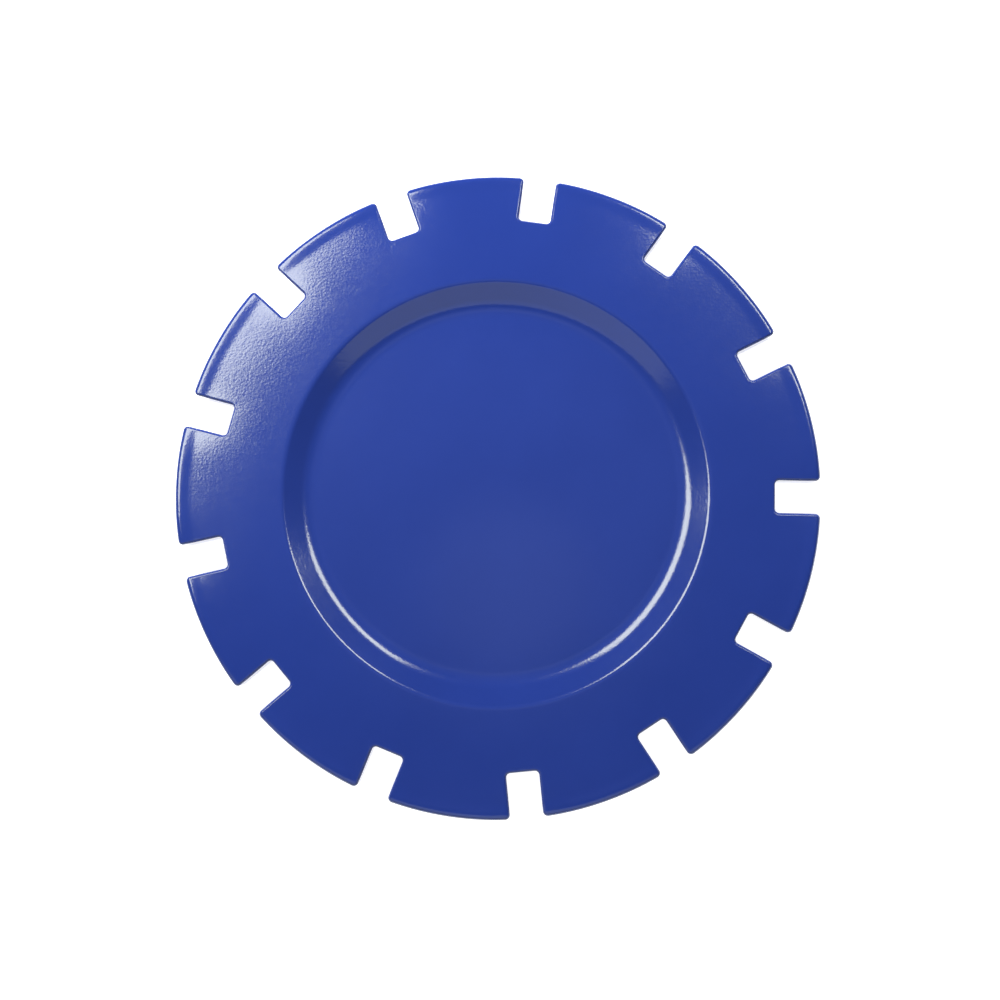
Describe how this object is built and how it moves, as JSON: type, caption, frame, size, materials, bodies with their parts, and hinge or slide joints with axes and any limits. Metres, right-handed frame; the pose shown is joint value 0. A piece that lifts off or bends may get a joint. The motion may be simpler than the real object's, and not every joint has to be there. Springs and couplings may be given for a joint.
{
  "type": "contactless transit token",
  "caption": "Thin round contactless fare token: two moulded shells with a slotted rim and a shallow dished recess, sealed round an antenna inlay and chip.",
  "frame": {"origin": "centre of the flat back face, which the token rests on", "axes": "+Z out of the dished front face, +X along the centre line of one rim slot"},
  "size_m": [0.03, 0.03, 0.0016],
  "materials": {
    "shell_plastic": "semi-gloss deep blue moulded plastic with a fine leathery grain",
    "adhesive": "matte cream acrylic bonding film",
    "carrier_film": "milky polyester film",
    "etched_foil": "bright etched foil with rolling lines",
    "bridge_foil": "dull crimped foil",
    "silicon": "ground dark grey silicon",
    "epoxy": "black filled epoxy"
  },
  "bodies": {
    "root": {"front_shell": "shell_plastic", "back_shell": "shell_plastic", "inlay_adhesive": "adhesive", "inlay_film": "carrier_film", "antenna_coil": "etched_foil", "contact_island": "etched_foil", "bridge_strap": "bridge_foil", "chip_die": "silicon", "chip_encapsulant": "epoxy"}
  },
  "joints": []
}
